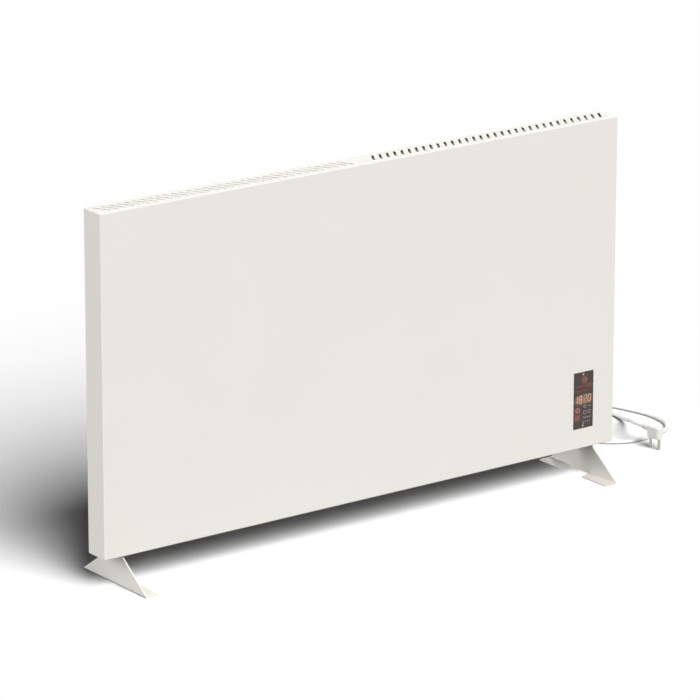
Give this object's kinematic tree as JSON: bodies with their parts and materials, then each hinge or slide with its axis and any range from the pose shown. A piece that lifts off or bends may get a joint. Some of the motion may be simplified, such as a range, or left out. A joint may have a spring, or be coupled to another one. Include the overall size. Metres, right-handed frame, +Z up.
{
  "type": "panel convector heater",
  "caption": "Slim upright electric panel convector on folded sheet feet, with slanted outlet slots in its top, a small dark display window low on the front and a mains lead with a two-pin plug",
  "frame": {"origin": "on the floor, under the middle of the feet's footprint", "axes": "+X along the panel to the right as seen from the front, the front faces -Y, +Z up"},
  "size_m": [1.2398, 0.4531, 0.602],
  "materials": {
    "powder_coat": "satin",
    "display_glass": "gloss",
    "zinc_steel": "satin",
    "nickel": "gloss",
    "aluminium": "satin",
    "white_plastic": "satin",
    "dark_plastic": "satin",
    "board": "satin",
    "white_lead": "satin",
    "silicone": "matt",
    "red_lead": "satin",
    "ceramic": "matt"
  },
  "bodies": {
    "heater": {"front_shell": "powder_coat", "rear_cover": "powder_coat", "foot_left": "powder_coat", "foot_right": "powder_coat", "display_window": "display_glass", "front_stiffeners": "zinc_steel", "rear_cover_screws": "zinc_steel", "wall_nuts": "zinc_steel", "foot_screws": "zinc_steel", "foot_nuts": "zinc_steel", "element_tube": "nickel", "element_terminals": "ceramic", "element_fins": "aluminium", "element_bushes": "ceramic", "element_bracket_left": "zinc_steel", "element_bracket_right": "zinc_steel", "heat_shield": "aluminium", "thermal_cutout": "dark_plastic", "relay_lead": "red_lead", "block_lead": "white_lead", "cutout_lead": "red_lead", "mains_tails": "white_lead", "sensor_lead": "dark_plastic", "control_partition": "zinc_steel", "lead_grommet": "silicone", "control_tray": "white_plastic", "control_lid": "white_plastic", "tray_screws": "zinc_steel", "power_board": "board", "board_screws": "zinc_steel", "relay": "dark_plastic", "power_supply": "dark_plastic", "terminal_block": "white_plastic", "display_frame": "dark_plastic", "display_nuts": "zinc_steel", "display_board": "board", "digit_module": "dark_plastic", "touch_pads": "silicone", "display_ribbon": "white_plastic", "room_sensor": "dark_plastic", "sensor_clip": "white_plastic", "tip_housing": "dark_plastic", "tip_pin": "zinc_steel", "tip_sensor": "dark_plastic", "cord_gland": "white_plastic", "gland_nut": "white_plastic", "cord_relief": "white_lead", "mains_cord": "white_lead", "plug_body": "white_plastic", "plug_pins": "nickel"},
    "pendulum": {"tip_pendulum": "nickel"}
  },
  "joints": [
    {"name": "tip_pendulum_swing", "type": "hinge", "parent": "heater", "child": "pendulum", "pos_m": [0.422, -0.0055, 0.2325], "axis": [1, 0, 0], "range_deg": [-20, 20]}
  ]
}
